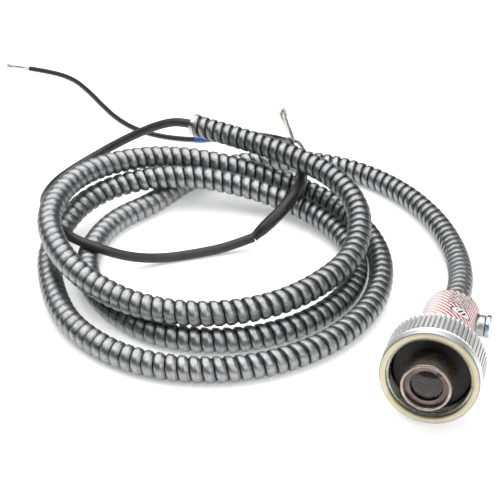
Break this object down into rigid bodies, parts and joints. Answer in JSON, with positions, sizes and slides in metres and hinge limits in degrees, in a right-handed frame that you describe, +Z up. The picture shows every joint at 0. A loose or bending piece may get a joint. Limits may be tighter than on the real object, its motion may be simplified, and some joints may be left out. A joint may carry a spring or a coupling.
{
  "type": "flame sensor probe",
  "caption": "Optical flame sensor head with a lens in a nose barrel and a knurled coupling collar, on a long flexible steel conduit that carries its signal cable.",
  "frame": {"origin": "on the ground, under the middle of the head's bounding box, cord left out", "axes": "+Z up; -Y the way the nose looks, which is tilted up by 6 degrees; +X the clamp screw's side"},
  "size_m": [0.4057, 0.3681, 0.051],
  "materials": {
    "plated_collar": "turned steel, zinc plated with a pale yellow passivation",
    "brass": "turned brass",
    "spring_steel": "plated spring steel",
    "nose_metal": "turned, brown-grey conversion coat",
    "ring_metal": "bright steel",
    "lens_glass": "polished",
    "black_rubber": "matt",
    "blackened_metal": "matt black",
    "phenolic": "moulded phenolic",
    "flange_metal": "dark conversion coat",
    "gasket_fibre": "pressed fibre and graphite",
    "housing_metal": "turned, satin",
    "label_film": "printed film, red hatching on white",
    "cell_can": "drawn can",
    "gold_pins": "gold flash",
    "socket_ceramic": "moulded, off-white",
    "cable_jacket": "extruded vinyl, dark warm grey",
    "black_jacket": "extruded vinyl, black",
    "red_nylon": "moulded nylon",
    "blue_zinc": "blue bright zinc",
    "galvanised_strip": "galvanised steel strip, wound and interlocked",
    "bright_zinc": "bright zinc",
    "heat_shrink": "shrunk tube, black",
    "blue_marker": "printed vinyl sleeve, blue",
    "cream_insulation": "extruded polyethylene",
    "tinned_copper": "tinned copper strands, twisted"
  },
  "bodies": {
    "root": {"collar_stop_ring": "spring_steel", "nose_barrel": "nose_metal", "lens_retaining_ring": "ring_metal", "lens": "lens_glass", "lens_seal": "black_rubber", "aperture_disc": "blackened_metal", "insulating_sleeve": "phenolic", "mounting_flange": "flange_metal", "face_gasket": "gasket_fibre", "body_housing": "housing_metal", "body_label": "label_film", "photocell": "cell_can", "cell_pins": "gold_pins", "contact_sleeves": "brass", "cell_socket": "socket_ceramic", "spring_washer": "spring_steel", "solder_tags": "brass", "core_leads": "black_jacket", "head_cable": "cable_jacket", "cable_ferrule": "brass", "conduit_bushing": "red_nylon", "conduit_lead": "galvanised_strip", "conduit_coil": "galvanised_strip", "conduit_tail": "galvanised_strip", "conduit_end_bushing": "bright_zinc", "signal_cable": "cable_jacket", "heat_shrink_sleeve": "heat_shrink", "lead_wire": "black_jacket", "marker_sleeve": "blue_marker", "core_insulation": "cream_insulation", "bare_conductor": "tinned_copper", "shield_pigtail": "tinned_copper"},
    "ring_carriage": {"slip_ring": "brass"},
    "collar": {"coupling_collar": "plated_collar"},
    "saddle": {"clamp_saddle": "spring_steel"},
    "screw": {"clamp_screw": "blue_zinc"}
  },
  "joints": [
    {"name": "collar_slide", "type": "slide", "parent": "root", "child": "ring_carriage", "axis": [0, -0.9945, 0.1045], "range_m": [0, 0.0055]},
    {"name": "collar_spin", "type": "hinge", "parent": "ring_carriage", "child": "collar", "pos_m": [0, -0.03121, 0.02687], "axis": [0, -0.9945, 0.1045], "continuous": true},
    {"name": "clamp_travel", "type": "slide", "parent": "root", "child": "saddle", "axis": [1, 0, 0], "range_m": [0, 0.0016]},
    {"name": "clamp_turn", "type": "hinge", "parent": "saddle", "child": "screw", "pos_m": [0, 0.03244, 0.02018], "axis": [1, 0, 0], "range_deg": [0, 576]}
  ],
  "couplings": [
    {"joint": "clamp_turn", "follows": "clamp_travel", "rad_per_m": 6283.2}
  ]
}
